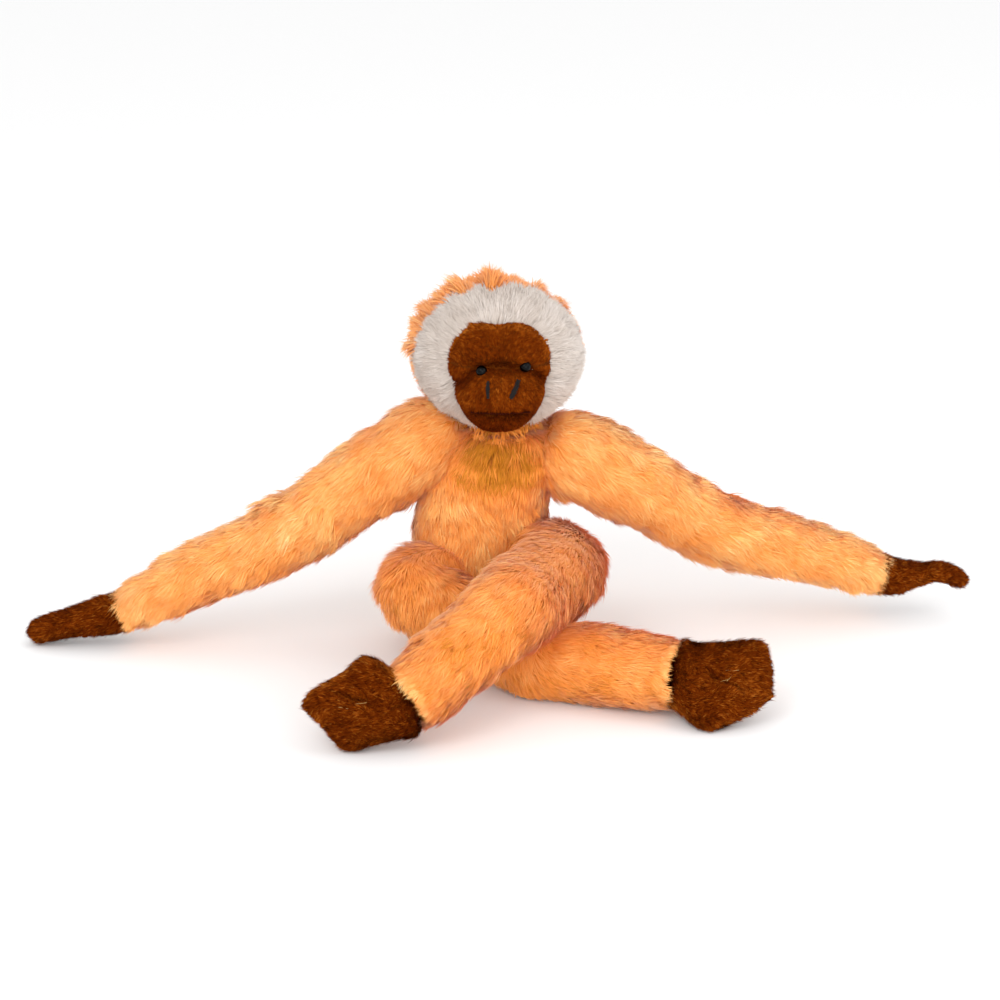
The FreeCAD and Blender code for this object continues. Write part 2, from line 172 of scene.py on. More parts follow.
def curve_through(points, count):
    """Points evenly spaced along a smooth curve through the given ones."""
    p = np.asarray(points, float)
    p = np.vstack([2 * p[0] - p[1], p, 2 * p[-1] - p[-2]])
    out = []
    for k in range(1, len(p) - 2):
        t = np.linspace(0, 1, CURVE_STEPS, endpoint=False)[:, None]
        a, b, c, d = p[k - 1], p[k], p[k + 1], p[k + 2]
        out.append(0.5 * (2 * b + (c - a) * t + (2 * a - 5 * b + 4 * c - d) * t ** 2
                          + (3 * b - a - 3 * c + d) * t ** 3))
    out.append(p[-2][None])
    out = np.vstack(out)
    s = np.r_[0, np.cumsum(np.linalg.norm(np.diff(out, axis=0), axis=1))]
    at = np.linspace(0, s[-1], count)
    return np.stack([np.interp(at, s, out[:, k]) for k in range(3)], 1), at


def tube(points, widths, heights, side, rings=90, around=44, crumple=0.6, seed=0):
    """Closed tube along a curve.  widths go along `side`, heights across it; both list (mm along, mm)."""
    path, s = curve_through(points, rings)
    tangent = unit(np.gradient(path, axis=0))
    wide = np.interp(s, [a for a, _ in widths], [b for _, b in widths])
    tall = np.interp(s, [a for a, _ in heights], [b for _, b in heights])
    a = np.linspace(0, 2 * math.pi, around, endpoint=False)
    side = np.asarray(side, float)
    u = unit(side - tangent * (tangent @ side)[:, None])
    v = np.cross(tangent, u)
    ring = (u[:, None] * (np.cos(a)[None, :, None] * wide[:, None, None])
            + v[:, None] * (np.sin(a)[None, :, None] * tall[:, None, None]))
    verts = (path[:, None] + ring).reshape(-1, 3)
    out = unit(ring.reshape(-1, 3))
    fade = np.repeat(np.minimum(smooth(0, 8, s), smooth(0, 8, s[-1] - s)), around)
    verts = verts + out * (noise3(verts, 17, seed) * crumple * fade)[:, None]
    tris = []
    for r in range(rings - 1):
        for k in range(around):
            p = r * around + k
            q = r * around + (k + 1) % around
            tris += [(p, q, q + around), (p, q + around, p + around)]
    n = len(verts)
    verts = np.vstack([verts, path[:1], path[-1:]])
    for k in range(around):
        k2 = (k + 1) % around
        tris.append((n, k2, k))
        tris.append((n + 1, (rings - 1) * around + k, (rings - 1) * around + k2))
    return verts, np.array(tris), path, s


def vertex_normals(verts, tris):
    a, b, c = verts[tris[:, 0]], verts[tris[:, 1]], verts[tris[:, 2]]
    face = np.cross(b - a, c - a)
    out = np.zeros_like(verts)
    for k in range(3):
        np.add.at(out, tris[:, k], face)
    return unit(out)


# ---------------------------------------------------------------- pile
def sow(rng, verts, tris, density):
    """Random roots on a surface with their normals."""
    a, b, c = verts[tris[:, 0]], verts[tris[:, 1]], verts[tris[:, 2]]
    area = np.linalg.norm(np.cross(b - a, c - a), axis=1) / 2
    count = int(area.sum() * density)
    pick = rng.choice(len(tris), count, p=area / area.sum())
    r1 = np.sqrt(rng.random(count))[:, None]
    r2 = rng.random(count)[:, None]
    n = vertex_normals(verts, tris)
    w0, w1, w2 = 1 - r1, r1 * (1 - r2), r1 * r2
    t = tris[pick]
    roots = verts[t[:, 0]] * w0 + verts[t[:, 1]] * w1 + verts[t[:, 2]] * w2
    normals = unit(n[t[:, 0]] * w0 + n[t[:, 1]] * w1 + n[t[:, 2]] * w2)
    return roots, normals


def pile(name, rng, roots, normals, comb, length, lift, width, material,
         lock=7.0, gather=0.45, wave=0.35, tone=None, levels=4, seed=0, round_locks=0.16, fleck=0.07):
    """A mesh of tapered fibres.  comb is the way each fibre leans, lift its rise off the surface."""
    n = len(roots)
    flat = unit(comb - normals * (comb * normals).sum(1, keepdims=True))
    middle, mark = locks(roots, lock, seed)
    twist = noise_vec(roots, lock * 2.2, seed + 11) * wave
    flat = unit(flat + twist - normals * (twist * normals).sum(1, keepdims=True))
    side = np.cross(normals, flat)
    jitter = rng.normal(0, 1, (n, 3))
    reach = length * (0.78 + 0.34 * mark + 0.10 * jitter[:, 0])
    rise = np.clip(lift * (0.75 + 0.5 * scatter_like(mark, 3) + 0.22 * jitter[:, 1]), 0.05, 1.45)
    flat = unit(flat + side * (0.20 * jitter[:, 2] + 0.5 * (scatter_like(mark, 9) - 0.5))[:, None])
    off = middle - roots
    off = off - normals * (off * normals).sum(1, keepdims=True)
    far = np.linalg.norm(off, axis=1, keepdims=True)
    off = off * np.minimum(1.0, lock / np.maximum(far, 1e-6))
    rows = []
    for k in range(levels):
        t = k / (levels - 1)
        bend = rise * (1.0 - 0.55 * t)
        go = flat * np.cos(bend)[:, None] + normals * np.sin(bend)[:, None]
        row = roots - normals * 0.5 + go * (reach * t)[:, None] + off * (gather * t ** 1.5)
        row[:, 2] = np.maximum(row[:, 2], STRAND_FLOOR + STRAND_FLOOR_STEP * k)
        rows.append(row)
    across = unit(np.cross(flat, normals) + normals * (0.35 * jitter[:, :1]))
    verts = []
    for k in range(levels - 1):
        half = width * (1.0 - 0.65 * (k / (levels - 1)) ** 2) / 2
        half = half if np.ndim(half) == 0 else half[:, None]
        verts += [rows[k] - across * half, rows[k] + across * half]
    verts.append(rows[-1])
    per = len(verts)
    all_verts = np.stack(verts, 1).reshape(-1, 3)
    base = np.arange(n)[:, None] * per
    tris = []
    for k in range(levels - 2):
        p = 2 * k
        tris += [base + [p, p + 1, p + 3], base + [p, p + 3, p + 2]]
    p = 2 * (levels - 2)
    tris.append(base + [p, p + 1, p + 2])
    tris = np.stack(tris, 1).reshape(-1, 3)
    shade = unit(normals - off / lock * round_locks * 1.6 + 0.09 * jitter)
    shade = np.repeat(shade, per, axis=0)
    if tone is None:
        tone = np.full(n, 0.5)
    _, streak = locks(roots, lock * 0.4, seed + 21)
    tone = tone + 0.14 * (mark - 0.5) + 0.24 * (streak - 0.5) + fleck * rng.normal(0, 1, n)
    tone = np.clip(tone, 0.01, 0.97)
    u = np.repeat(tone, per)
    ts = []
    for k in range(levels - 1):
        ts += [k / (levels - 1)] * 2
    ts.append(1.0)
    v = np.tile(np.array(ts), n) * 0.96 + 0.02
    lr = np.tile(np.array([0.0, 0.004] * (levels - 1) + [0.002]), n)
    uv = np.stack([u + lr, v], 1)
    return make_mesh(name, all_verts, tris, uv, shade, material)


def scatter_like(mark, k):
    return np.modf(np.abs(mark) * (37.0 + 11.3 * k) + 0.137 * k)[0]


# ---------------------------------------------------------------- materials
def lin(rgb):
    """A colour of 0 to 255 per channel, as the linear colour that a shader takes."""
    linear = [c / 255 / 12.92 if c <= 10 else ((c / 255 + 0.055) / 1.055) ** 2.4 for c in rgb]
    return tuple(linear) + (1.0,)


def ramp(nodes, stops):
    r = nodes.new("ShaderNodeValToRGB")
    e = r.color_ramp.elements
    e[0].position, e[0].color = stops[0][0], lin(stops[0][1])
    e[1].position, e[1].color = stops[-1][0], lin(stops[-1][1])
    for pos, col in stops[1:-1]:
        x = e.new(pos)
        x.color = lin(col)
    return r


def pile_material(name, roots, tips, rough=0.7, sheen=0.25, spec=0.25):
    """Fibre colour: across the map the tone of the lock, up the map from root to tip."""
    m = bpy.data.materials.new(name)
    m.use_nodes = True
    nt = m.node_tree
    bs = nt.nodes["Principled BSDF"]
    bs.inputs["Roughness"].default_value = rough
    bs.inputs["Sheen Weight"].default_value = sheen
    bs.inputs["Sheen Roughness"].default_value = 0.5
    bs.inputs["Specular IOR Level"].default_value = spec
    uv = nt.nodes.new("ShaderNodeUVMap")
    uv.uv_map = "OFBake"
    sep = nt.nodes.new("ShaderNodeSeparateXYZ")
    nt.links.new(uv.outputs["UV"], sep.inputs[0])
    a = ramp(nt.nodes, roots)
    b = ramp(nt.nodes, tips)
    nt.links.new(sep.outputs["X"], a.inputs["Fac"])
    nt.links.new(sep.outputs["X"], b.inputs["Fac"])
    ease = nt.nodes.new("ShaderNodeMapRange")
    ease.interpolation_type = "SMOOTHSTEP"
    ease.inputs["From Min"].default_value = 0.05
    ease.inputs["From Max"].default_value = 0.8
    nt.links.new(sep.outputs["Y"], ease.inputs["Value"])
    mix = nt.nodes.new("ShaderNodeMix")
    mix.data_type = "RGBA"
    nt.links.new(ease.outputs["Result"], mix.inputs["Factor"])
    nt.links.new(a.outputs["Color"], mix.inputs["A"])
    nt.links.new(b.outputs["Color"], mix.inputs["B"])
    nt.links.new(mix.outputs["Result"], bs.inputs["Base Color"])
    return m


def noisy_material(name, dark, light, scale=900.0, rough=0.85, bump_mm=0.3, gloss=0.3,
                   pattern="NOISE"):
    m = bpy.data.materials.new(name)
    m.use_nodes = True
    nt = m.node_tree
    bs = nt.nodes["Principled BSDF"]
    bs.inputs["Roughness"].default_value = rough
    bs.inputs["Specular IOR Level"].default_value = gloss
    tc = nt.nodes.new("ShaderNodeTexCoord")
    if pattern == "NOISE":
        tex = nt.nodes.new("ShaderNodeTexNoise")
        tex.inputs["Scale"].default_value = scale
        tex.inputs["Detail"].default_value = 4.0
        out = tex.outputs["Fac"]
    elif pattern == "VORONOI":
        tex = nt.nodes.new("ShaderNodeTexVoronoi")
        tex.inputs["Scale"].default_value = scale
        out = tex.outputs["Distance"]
    else:
        tex = nt.nodes.new("ShaderNodeTexWave")
        tex.inputs["Scale"].default_value = scale
        tex.inputs["Distortion"].default_value = 1.5
        tex.inputs["Detail"].default_value = 2.0
        out = tex.outputs["Fac"]
    nt.links.new(tc.outputs["Object"], tex.inputs["Vector"])
    r = ramp(nt.nodes, [(0.3, dark), (0.7, light)])
    nt.links.new(out, r.inputs["Fac"])
    nt.links.new(r.outputs["Color"], bs.inputs["Base Color"])
    b = nt.nodes.new("ShaderNodeBump")
    b.inputs["Strength"].default_value = 0.6
    b.inputs["Distance"].default_value = bump_mm * MM
    nt.links.new(out, b.inputs["Height"])
    nt.links.new(b.outputs["Normal"], bs.inputs["Normal"])
    return m


ORANGE_FUR = pile_material(
    "orange_fur",
    [(0.0, (168, 96, 0)), (0.3, (236, 130, 34)), (0.6, (252, 150, 54)), (1.0, (255, 178, 92))],
    [(0.0, (204, 126, 2)), (0.25, (248, 150, 58)), (0.55, (255, 172, 90)), (0.8, (255, 200, 120)),
     (1.0, (255, 230, 165))])
WHITE_FUR = pile_material(
    "white_fur",
    [(0.0, (152, 132, 118)), (0.5, (186, 172, 162)), (1.0, (206, 195, 187))],
    [(0.0, (182, 165, 152)), (0.5, (216, 204, 194)), (1.0, (238, 230, 224))])
BROWN_PILE = pile_material(
    "brown_pile",
    [(0.0, (40, 10, 0)), (0.5, (88, 34, 1)), (1.0, (124, 60, 4))],
    [(0.0, (56, 14, 0)), (0.3, (96, 34, 2)), (0.6, (135, 59, 6)), (0.85, (184, 99, 28)),
     (1.0, (206, 128, 52))],
    rough=0.9, sheen=0.0, spec=0.02)
ORANGE_SKIN = noisy_material("orange_backing", (206, 112, 30), (238, 150, 60), 500, bump_mm=0.5, gloss=0.08)
WHITE_SKIN = noisy_material("white_backing", (190, 180, 175), (225, 220, 216), 500, bump_mm=0.5)
BROWN_SKIN = noisy_material("brown_backing", (66, 26, 2), (104, 48, 6), 1400, bump_mm=0.3, gloss=0.03)
FIBRE = noisy_material("stuffing_fibre", (214, 212, 206), (245, 244, 240), 300, bump_mm=0.8)
BAG_CLOTH = noisy_material("bag_cloth", (205, 200, 186), (232, 228, 216), 900, bump_mm=0.2, pattern="WAVE")
PELLETS = noisy_material("pellets", (170, 170, 165), (236, 236, 230), 420, rough=0.4, bump_mm=1.2,
                         pattern="VORONOI")
WASHER = noisy_material("washer_plastic", (205, 205, 205), (225, 225, 225), 700, rough=0.45, bump_mm=0.05)
EYE = noisy_material("eye_plastic", (1, 1, 1), (4, 3, 3), 300, rough=0.2, bump_mm=0.0, gloss=0.12)
BLACK_THREAD = noisy_material("black_thread", (6, 5, 5), (34, 30, 28), 1500, rough=0.5, bump_mm=0.3,
                              pattern="WAVE")
DARK_THREAD = noisy_material("brown_thread", (36, 6, 2), (78, 22, 6), 1500, rough=0.8, bump_mm=0.2,
                             gloss=0.05, pattern="WAVE")
ORANGE_THREAD = noisy_material("orange_thread", (214, 150, 70), (250, 205, 130), 1500, rough=0.6,
                               bump_mm=0.2, pattern="WAVE")
CREAM = noisy_material("cream_backing", (206, 158, 84), (240, 206, 140), 1100, rough=0.9, bump_mm=0.3)

by_slot = {"stuffing_fibre": FIBRE, "bag_cloth": BAG_CLOTH, "pellets": PELLETS, "washer_plastic": WASHER,
           "eye_plastic": EYE, "black_thread": BLACK_THREAD, "brown_thread": DARK_THREAD,
           "orange_thread": ORANGE_THREAD, "orange_plush": ORANGE_SKIN, "white_plush": WHITE_SKIN,
           "brown_velour": BROWN_SKIN}
for part in frame["record"]["subparts"]:
    node = frame["nodes"].get(part["node"])
    if node is not None:
        for s in node.material_slots:
            s.material = by_slot[part["material_slot"]]


def dress(obj, body, nodes=(), across=None):
    """Hang a piece on the frame: it rides one body, or, lying across two, it is fixed in place and rides neither.
    """
    if across:
        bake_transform(obj)
    else:
        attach(obj, body)
    if nodes:
        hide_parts(*nodes)


# ---------------------------------------------------------------- arms and legs
def limb(name, side, points, widths, heights, flat_side, first, second, bend_at, nodes, fur_len,
         lift, droop, seed, end_gap, lock=6.5, gather=0.5, tuft=None, tone_shift=0.0, flow=None,
         hem=0.0, rings=110):
    rng = np.random.default_rng(seed)
    verts, tris, path, s = tube(points, widths, heights, flat_side, rings=rings, seed=seed)
    bend_dir = unit(np.asarray(bend_at[1]) - np.asarray(bend_at[0]))
    across = (first, second, np.asarray(bend_at[0]), np.asarray(bend_at[1]))
    verts[:, 2] = np.maximum(verts[:, 2], SKIN_FLOOR)
    skin = make_mesh(name + "_skin_" + side, verts, tris, material=ORANGE_SKIN)
    roots, normals = sow(rng, verts, tris, FUR_DENSITY)
    tangent = unit(np.gradient(path, axis=0))
    at = np.argmin(((roots[:, None, :] - path[None, ::4, :]) ** 2).sum(2), axis=1) * 4
    along = s[at]
    run = tangent[at]
    cap = (normals * run).sum(1) > 0.9
    keep = ~cap
    roots, normals, along, run = roots[keep], normals[keep], along[keep], run[keep]
    comb = run + np.array([0, 0, -droop])
    to_end = s[-1] - along
    if flow is not None:
        upper = smooth(flow[1] + 25, flow[1] - 5, along)[:, None]
        comb = comb * (1 - upper) + (run * 0.35 + flow[0]) * upper
    length = fur_len * (0.55 + 0.45 * smooth(0, 22, to_end)) * (0.6 + 0.4 * smooth(0, 14, along))
    lift = lift * np.ones(len(roots))
    if tuft is not None:
        near = np.exp(-((roots - tuft) ** 2).sum(1) / 6.0 ** 2)
        lift = lift + 1.1 * near
        length = length + 2.0 * near
    length = np.minimum(length, np.maximum(4.0, to_end + end_gap))
    tone = 0.56 + tone_shift + 0.10 * noise3(roots, 26, seed + 5) + 0.08 * noise3(roots, 9, seed + 6)
    # painted highlight: fur that faces upwards is made lighter, so the tops of the arms and legs look lit
    tone = tone + 0.08 * normals[:, 2] + hem * smooth(7, 0, to_end)
    fur = pile(name + "_fur_" + side, rng, roots, normals, comb, length, lift, SHORT_FUR_WIDTH, ORANGE_FUR,
               lock=lock, gather=gather, wave=0.34, tone=tone, seed=seed)
    dress(skin, None, nodes, across)
    dress(fur, None, (), across)


def arm(side, sign):
    shoulder = pivot("shoulder_raise_" + side)
    elbow = pivot("elbow_" + side)
    wrist = pivot("wrist_" + side)
    upper = unit(elbow - shoulder)
    fore = unit(wrist - elbow)
    inside = 20       # the sleeve starts inside the body, where it is sewn on
    start = shoulder - upper * inside
    bend = inside + np.linalg.norm(elbow - shoulder)
    total = bend + np.linalg.norm(wrist - elbow)
    wide = [(0, 9), (3, 14), (12, 18.0), (24, 19.5), (43, 19.5), (68, 18.0), (bend, 16.6), (bend + 33, 15.6),
            (total - 34, 13.6), (total - 12, 11.4), (total - 3, 10.2), (total, 9.6)]
    tall = [(0, 10), (3, 15), (12, 19.5), (22, 21.5), (43, 21.0), (68, 19.0), (bend, 17.2), (bend + 33, 15.6),
            (total - 34, 13.4), (total - 12, 11.2), (total - 3, 10.0), (total, 9.6)]
    points = [start, shoulder + Z * 1.5, (shoulder + elbow) / 2 + Z * 2.0, elbow,
              (elbow + wrist) / 2 + np.array([0, 0, 1.0]), wrist]
    limb("arm", side, points, wide, tall, (0, 1, 0), "upper_arm_" + side, "forearm_" + side,
         (elbow - fore * 22, elbow + fore * 22),
         ["upper_arm_cover_" + side, "forearm_cover_" + side, "upper_arm_stuffing_" + side,
          "forearm_stuffing_" + side], 12.5, 0.5, 0.35, 20 + sign, 4.0 if side == "right" else 9.0,
         hem=-0.12 if side == "right" else 0.12,
         tuft=elbow + Z * 17 if side == "right" else None)


def leg(side, sign):
    hip = pivot("hip_" + side)
    knee = pivot("knee_" + side)
    ankle = pivot("ankle_" + side)
    thigh = unit(knee - hip)
    shin = unit(ankle - knee)
    lt = np.linalg.norm(knee - hip)
    # the sleeve starts inside the body, where it is sewn on
    root = hip * [0.42, 0.35, 1.0] + Z * 2
    lead = np.linalg.norm(hip - root)
    total = lead + lt + np.linalg.norm(ankle - knee)
    if side == "left":
        wide = [(0, 10), (6, 18), (lead, 20.5), (lead + 25, 21.5), (lead + 55, 21.0), (lead + lt, 20.0),
                (total - 40, 18.5), (total - 12, 17.0), (total, 16.0)]
    else:
        wide = [(0, 10), (6, 16), (lead, 18.0), (lead + 25, 18.5), (lead + 60, 18.0), (lead + lt, 18.5),
                (total - 40, 18.5), (total - 12, 17.4), (total, 16.5)]
    points = [root, hip, hip + thigh * lt * 0.72, knee, knee + shin * 24, ankle]
    limb("leg", side, points, wide, wide, (0, 0, 1), "thigh_" + side, "shin_" + side,
         (knee - shin * 20, knee + shin * 22),
         ["thigh_cover_" + side, "shin_cover_" + side, "thigh_stuffing_" + side,
          "shin_stuffing_" + side], 12.0, 0.5, 0.2, 40 + sign, 6.5,
         lock=5.5, gather=0.38, tone_shift=-0.23, hem=0.25,
         flow=(shin * 1.1 - Z * 0.5 if side == "left" else -Z, lead + lt))


arm("right", -1)
arm("left", 1)
leg("right", -1)
leg("left", 1)


# ---------------------------------------------------------------- torso
def torso():
    rng = np.random.default_rng(60)
    neck = pivot("neck_turn")
    rows = [(0.5, 0, 0, 10, 9), (0.6, 0, 0, 24, 20), (3.5, 0, 0, 30, 25), (12, 0, 1, 34, 28),
            (28, 0, 1, 35.5, 29), (48, -1, 1, 34.5, 28), (66, -1, 1, 33.5, 27), (84, 1, 0, 33, 26),
            (97, 4, 0, 32.5, 25.5), (108, 8, 0, 32, 23.5), (116, 9.5, 0, 29, 21), (122.5, neck[0], 0, 17, 15)]
    z = [r[0] for r in rows]
    around, rings = 80, 90
    zs = np.interp(np.linspace(0, 1, rings) ** 0.85, np.linspace(0, 1, len(z)), z)
    a = np.linspace(0, 2 * math.pi, around, endpoint=False)
    verts = []
    for q in zs:
        cx, cy, rx, ry = [np.interp(q, z, [r[k] for r in rows]) for k in (1, 2, 3, 4)]
        verts.append(np.stack([cx + rx * np.cos(a), cy + ry * np.sin(a), np.full(around, q)], 1))
    verts = np.array(verts).reshape(-1, 3)
    n = unit(verts * [1, 1, 0])
    verts = verts + n * (noise3(verts, 22, 3) * 1.0 * smooth(2, 12, verts[:, 2]))[:, None]
    tris = []
    for r in range(rings - 1):
        for k in range(around):
            p = r * around + k
            q = r * around + (k + 1) % around
            tris += [(p, q, q + around), (p, q + around, p + around)]
    c = len(verts)
    verts = np.vstack([verts, [[0, 0, 0.5]], [[neck[0], 0, 123.0]]])
    for k in range(around):
        k2 = (k + 1) % around
        tris.append((c, k2, k))
        tris.append((c + 1, (rings - 1) * around + k, (rings - 1) * around + k2))
    tris = np.array(tris)
    skin = make_mesh("body_skin", verts, tris, material=ORANGE_SKIN)
    roots, normals = sow(rng, verts, tris, FUR_DENSITY)
    keep = (roots[:, 2] > 3.0)
    roots, normals = roots[keep], normals[keep]
    comb = np.tile(-Z, (len(roots), 1)) + unit(roots * [1, 1, 0]) * 0.1
    length = 11.5 * np.ones(len(roots))
    length = np.minimum(length, np.maximum(3.0, roots[:, 2] * 1.0))
    tone = 0.55 + 0.10 * noise3(roots, 26, 65) + 0.08 * noise3(roots, 9, 66)
    # painted shade under the chin: the fur there is darkened towards ochre
    chin = smooth(92, 108, roots[:, 2]) * smooth(4, -12, roots[:, 1]) * bump(roots[:, 0], 8, 26)
    tone = tone - 0.52 * chin
    fur = pile("body_fur", rng, roots, normals, comb, length, 0.45, 0.62, ORANGE_FUR,
               lock=7.5, gather=0.5, wave=0.4, tone=tone, seed=60)
    dress(skin, "torso",
          ["torso_front_panel", "torso_back_panel", "back_closing_stitch", "torso_stuffing"])
    dress(fur, "torso")


torso()


# ---------------------------------------------------------------- head
def head_shell():
    """Round of the head, as rings about the front-to-back axis."""
    c = HEAD
    rings, around = 90, 120
    verts = []
    for r in range(rings):
        b = math.pi * (r + 0.5) / rings
        a = np.linspace(0, 2 * math.pi, around, endpoint=False)
        verts.append(np.stack([c[0] - 1.2 + 42.6 * math.sin(b) * np.cos(a),
                               np.full(around, c[1] + 1.0 - 37.0 * math.cos(b)),
                               c[2] - 0.5 + 36.8 * math.sin(b) * np.sin(a)], 1))
    verts = np.array(verts).reshape(-1, 3)
    tris = []
    for r in range(rings - 1):
        for k in range(around):
            p = r * around + k
            q = r * around + (k + 1) % around
            tris += [(p, q + around, q), (p, p + around, q + around)]
    return verts, np.array(tris)


HEAD = np.array([node_centre("head_stuffing")[0], -2.0, 163.5])


def head():
    rng = np.random.default_rng(80)
    verts, tris = head_shell()
    skin = make_mesh("head_skin", verts, tris, material=ORANGE_SKIN)
    skin.data.materials.append(WHITE_SKIN)
    front = verts[tris].mean(1)[:, 1] < HEAD[1] - 6
    skin.data.polygons.foreach_set("material_index", front.astype(np.int32))
    roots, normals = sow(rng, verts, tris, FUR_DENSITY * 1.1)
    rel = roots - HEAD
    edge = -5.0 + 0.10 * rel[:, 0] + 1.5 * noise3(roots, 12, 5)
    # the orange hood comes down to a point in the middle of the forehead
    edge = edge - 4.5 * bump(rel[:, 0], -4.0, 4.0) * (rel[:, 2] > 0)
    face_r = np.hypot(rel[:, 0], rel[:, 2] + 1.0)
    low = smooth(-30, -34, rel[:, 2]) * (np.abs(rel[:, 0]) < 15)
    white = (rel[:, 1] < edge) & (face_r > 22) & (low < 0.5)
    orange = (rel[:, 1] >= edge) | (low >= 0.5)
    # white ruff, brushed outwards from the face
    r, n = roots[white], normals[white]
    rel_w = r - HEAD
    radial = unit(np.stack([rel_w[:, 0], np.zeros(len(r)), rel_w[:, 2] + 1.0], 1))
    comb = radial + np.array([0, 0.35, -0.12])
    length = 10.5 * np.ones(len(r))
    tone = 0.5 + 0.16 * noise3(r, 20, 81) + 0.10 * noise3(r, 7, 82) - 0.06 * smooth(-30, 10, rel_w[:, 2])
    ruff = pile("ruff_fur", rng, r, n, comb, length, 0.5, RUFF_WIDTH, WHITE_FUR, lock=5.0, gather=0.25,
                wave=0.28, tone=tone, seed=81, round_locks=0.2)
    # orange hood, brushed back, with a tuft standing on the crown
    r, n = roots[orange], normals[orange]
    rel_o = r - HEAD
    crown = bump(rel_o[:, 0], -1, 12) * smooth(24, 34, rel_o[:, 2])
    comb = np.stack([rel_o[:, 0] * 0.01, np.full(len(r), 0.8), np.full(len(r), -0.35)], 1)
    comb = comb + unit(rel_o) * 0.2
    rim = smooth(16, 2, r[:, 1] - HEAD[1])
    comb = comb + unit(rel_o * [1, 0, 1]) * (1.6 * rim)[:, None]
    around = np.degrees(np.arctan2(rel_o[:, 2], rel_o[:, 0]))
    spikes = sum(bump(around, at, 4.0) for at in (97, 118, 131, 146, 158, 169, 62, 44)) * rim
    length = 10.0 + 2.0 * crown + 1.5 * rim * (rel_o[:, 0] < 0) + 3.0 * spikes
    lift = 0.5 + 0.2 * crown + 0.1 * rim + 0.45 * spikes
    tone = 0.48 + 0.10 * noise3(r, 20, 85) + 0.10 * noise3(r, 8, 86)
    hood = pile("hood_fur", rng, r, n, comb, length, lift, FUR_WIDTH, ORANGE_FUR, lock=6.0,
                gather=0.6, wave=0.45, tone=tone, seed=85)
    dress(skin, "head", ["hood", "ruff", "head_stuffing"])
    dress(ruff, "head")
    dress(hood, "head")


head()


def face_depth(x, z):
    """How far the velour face stands in front of the head centre, at x and z from that centre."""
    x = np.asarray(x, float)
    z = np.asarray(z, float)
    dome = 11.5 + np.sqrt(np.maximum(33.0 ** 2 - x ** 2 - (z - 1.5) ** 2, 60.0))
    lobes = 2.6 * bump(z, 13.5, 10.0) * (bump(x, -12.0, 9.0) + bump(x, 11.0, 9.0))
    lobes = lobes - 1.6 * bump(x, 0.0, 4.0) * bump(z, 20.0, 10.0)
    zz = np.where(z < -10.8, (z + 10.8) * 0.84, z + 10.8)
    ex = np.maximum(np.abs(x) * (1 + 0.012 * np.maximum(-z - 12, 0)) - 5.3, 0)
    fall = 17.4 ** 2 - zz ** 2 - ex ** 2
    muz = np.where(fall > 0, 32.5 + np.sqrt(np.maximum(fall, 0.0)), 0)
    # the brow and the muzzle run into each other softly
    soft, level = 3.0, 45
    d = np.log(np.exp((dome - 1.0 - level) / soft) + np.exp((muz - level) / soft)) * soft + level
    d = d + lobes
    seam = seam_height(x)
    d = d - 2.4 * bump(z, seam, 2.0) * smooth(26, 20, np.abs(x)) - 1.4 * bump(z, seam, 5.0)
    d = d - 2.2 * bump(z, MOUTH_Z, 1.3) * smooth(*MOUTH_HALF, np.abs(x))
    d = d + 0.9 * bump(z, -21.5, 3.2) * smooth(15, 6, np.abs(x))
    return d


def seam_height(x):
    """The seam from cheek to cheek, over the bridge of the nose and through the eyes."""
    ax = np.abs(np.asarray(x, float) - 1.5)
    return 6.0 - 1.4 * smooth(2, 10, ax) - 10.0 * smooth(11, 25, ax)


def face_outline(angle):
    """Radius of the face from its centre, widest at the brow, pinched at the cheeks, narrow at the chin."""
    deg = np.degrees(angle)
    fold = np.where(deg > 90, 180 - deg, np.where(deg < -90, -180 - deg, deg))
    turns = [-90, -74, -58, -42, -29, -19, -11, -2, 9, 20, 35, 49, 64, 78, 90]
    radii = [30.4, 30.0, 28.8, 28.6, 28.0, 26.0, 25.2, 26.8, 29.0, 30.0, 30.6, 30.4, 29.4, 27.2, 25.6]
    return sum(np.interp(fold + d, turns, radii) for d in (-6, -3, 0, 3, 6)) / 5


